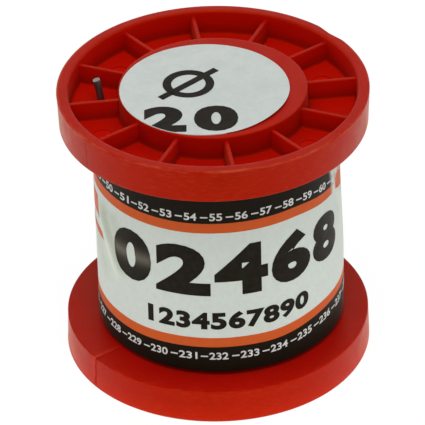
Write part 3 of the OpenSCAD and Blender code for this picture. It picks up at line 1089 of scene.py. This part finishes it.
def clipped_to_sticker(shape, sides=120):
    """Cuts flat print off at the sticker's edge."""
    for k in range(sides):
        way = on_circle(1, k * 360 / sides)
        at = STICKER_MIDDLE + way * (STICKER_R - 0.12)
        result = bisect(shape, (*at, 0), (*way, 0), clear_outer=True)
        edges = [e for e in result["geom_cut"] if isinstance(e, bmesh.types.BMEdge)]
        if edges:
            bmesh.ops.edgeloop_fill(shape, edges=edges)
    return shape


def make_sticker_print(black):
    """A plain diameter sign over a plain number that the sticker's edge cuts into."""
    sign = [diced(ring(SIGN_MIDDLE, SIGN_R, SIGN_INNER_R), STICKER_STEP),
            diced(bar(*SIGN_BAR), STICKER_STEP, SIGN_MIDDLE, math.radians(SIGN_TURN))]
    digits = [clipped_to_sticker(diced(glyphs(digit, width, NUMBER_H, NUMBER_BOLD), STICKER_STEP,
                                       (start, NUMBER_Y))) for digit, start, width in NUMBER]
    print_piece("sticker_sign", sign, on_sticker, black)
    print_piece("sticker_number", digits, on_sticker, black)


# --- The studio ---
VIEW_ELEVATION, VIEW_ROLL = 33.81, -1.375
VIEW_DISTANCE = 822.95
VIEW_OFFSET = (0.665, 0.229)
FOCAL_PX, FRAME_PX, SENSOR = 4015.6, 425, 36.0
WHITE = (1, 1, 1, 1)
WORLD_LEVEL = 0.35
FLOOR_COLOUR, FLOOR_GLOW, FLOOR_WHITENESS = (0.93, 0.93, 0.92, 1), 0.35, 0.94
FLOOR_HALF = 160
LIGHTS = (  # name, place and size in metres, level
    ("top", (0, -0.35, 1.05), 0.6, 0.45),
    ("front_left", (-0.35, -1.0, 0.35), 0.8, 0.06),
    ("front_right", (0.5, -0.95, 0.3), 0.8, 0.11),
    ("left", (-1.0, 0.15, 0.3), 0.8, 0.26),
    ("right", (1.0, 0.15, 0.3), 0.8, 0.24),
)


def make_camera():
    """A long lens at the photographed angle, looking at the middle of the spool."""
    e, roll = math.radians(VIEW_ELEVATION), math.radians(VIEW_ROLL)
    back = np.array([0, -math.cos(e), math.sin(e)])
    level, rise = np.array([1.0, 0, 0]), np.array([0, math.sin(e), math.cos(e)])
    right = math.cos(roll) * level + math.sin(roll) * rise
    up = -math.sin(roll) * level + math.cos(roll) * rise
    place = np.array([0, 0, SPOOL_H / 2]) + back * VIEW_DISTANCE
    place -= right * VIEW_OFFSET[0] + up * VIEW_OFFSET[1]
    lens = bpy.data.cameras.new("camera")
    lens.sensor_width, lens.lens = SENSOR, FOCAL_PX / FRAME_PX * SENSOR
    lens.clip_start, lens.clip_end = 0.05, 20
    camera = new_object("camera", lens)
    turned = Matrix([[*row] for row in np.stack([right, up, back], 1)]).to_4x4()
    camera.matrix_world = Matrix.Translation(Vector(place * MM)) @ turned
    bpy.context.scene.camera = camera


def area_light(name, place, size, level):
    """A square soft light, in metres, aimed at the spool. level is the share of full light that it
    throws on a surface that faces it."""
    way = Vector((0, 0, 0.03)) - Vector(place)
    lamp = bpy.data.lights.new(name, "AREA")
    lamp.size, lamp.energy = size, level * (math.pi * way.length) ** 2
    holder = new_object(name, lamp)
    holder.location = place
    holder.rotation_euler = way.to_track_quat("-Z", "Y").to_euler()


def make_floor():
    """A pale floor that keeps the spool's shadow and shows white to the camera."""
    made, tree, shader = new_material("floor", Base_Color=FLOOR_COLOUR, Roughness=0.6,
                                      Emission_Color=WHITE, Emission_Strength=FLOOR_GLOW)
    seen = node("LightPath", {}, tree).outputs
    glow = node("Emission", {"Color": WHITE, "Strength": 1.0}, tree)
    share = product(seen["Is Camera Ray"], FLOOR_WHITENESS)
    both = node("MixShader", {0: share, 1: shader.outputs[0], 2: glow.outputs[0]})
    tree.links.new(both.outputs[0], tree.nodes["Material Output"].inputs["Surface"])
    half = FLOOR_HALF
    points = [(-half, -half, 0), (half, -half, 0), (half, half, 0), (-half, half, 0)]
    floor = mesh_object("floor", points, [(0, 1, 2, 3)], made)


def make_world():
    """Soft light all round, and plain white where camera, metal and glass see past the floor."""
    world = bpy.data.worlds.new("studio")
    bpy.context.scene.world = world
    world.use_nodes = True
    tree = world.node_tree
    tree.nodes.clear()
    seen = node("LightPath", {}, tree).outputs
    white = node("Background", {"Color": WHITE, "Strength": 1.0}, tree)
    soft = node("Background", {"Color": WHITE, "Strength": WORLD_LEVEL}, tree)
    either = maths("MAXIMUM", seen["Is Camera Ray"], seen["Is Glossy Ray"])
    any_of = maths("MAXIMUM", either, seen["Is Transmission Ray"])
    both = node("MixShader", {0: any_of, 1: soft.outputs[0], 2: white.outputs[0]})
    node("OutputWorld", {"Surface": both.outputs[0]})


# --- Build ---
bpy.context.scene.view_settings.view_transform = "Standard"
make_camera()
make_world()
make_floor()
for light in LIGHTS:
    area_light(*light)

wire_metal = solder("solder_wire", (0.10, 0.10, 0.11, 1), (0.24, 0.24, 0.25, 1), 0.34)
cut_metal = solder("solder_cut", (0.07, 0.10, 0.08, 1), (0.32, 0.39, 0.34, 1), 0.30)
plain_red = red_plastic("red_plastic", (0.37, 0.0012, 0.0004, 1), (0.42, 0.003, 0.0008, 1), 0.34)
pin_red = red_plastic("red_pin_mark", (0.43, 0.012, 0.006, 1), (0.47, 0.020, 0.009, 1), 0.75, 0.03)
# The pockets' copy of the red: less sheen, and a paler base colour that is painted light
pocket_red_painted_light = red_plastic("red_pocket_painted_light", (0.44, 0.0010, 0.0003, 1), (0.50, 0.002, 0.0006, 1), 0.5,
                         0.03)
black_ink = ink("black_ink", INK_BLACK)
white_ink = ink("white_ink", INK_WHITE)
orange_ink = ink("orange_ink", BAR_ORANGE)

make_body(plain_red, pin_red, pocket_red_painted_light)
make_wire(wire_metal, cut_metal)
hidden_layers = frame["nodes"]["solder_inner_layers"].data.materials
hidden_layers.clear()
hidden_layers.append(wire_metal)
make_label(paper("label_paper", label_print))
make_label_print(black_ink, white_ink, orange_ink)
make_sticker(paper("sticker_paper", sticker_print), paper("sticker_edge_shadow", painted_edge_shadow))
make_sticker_print(black_ink)
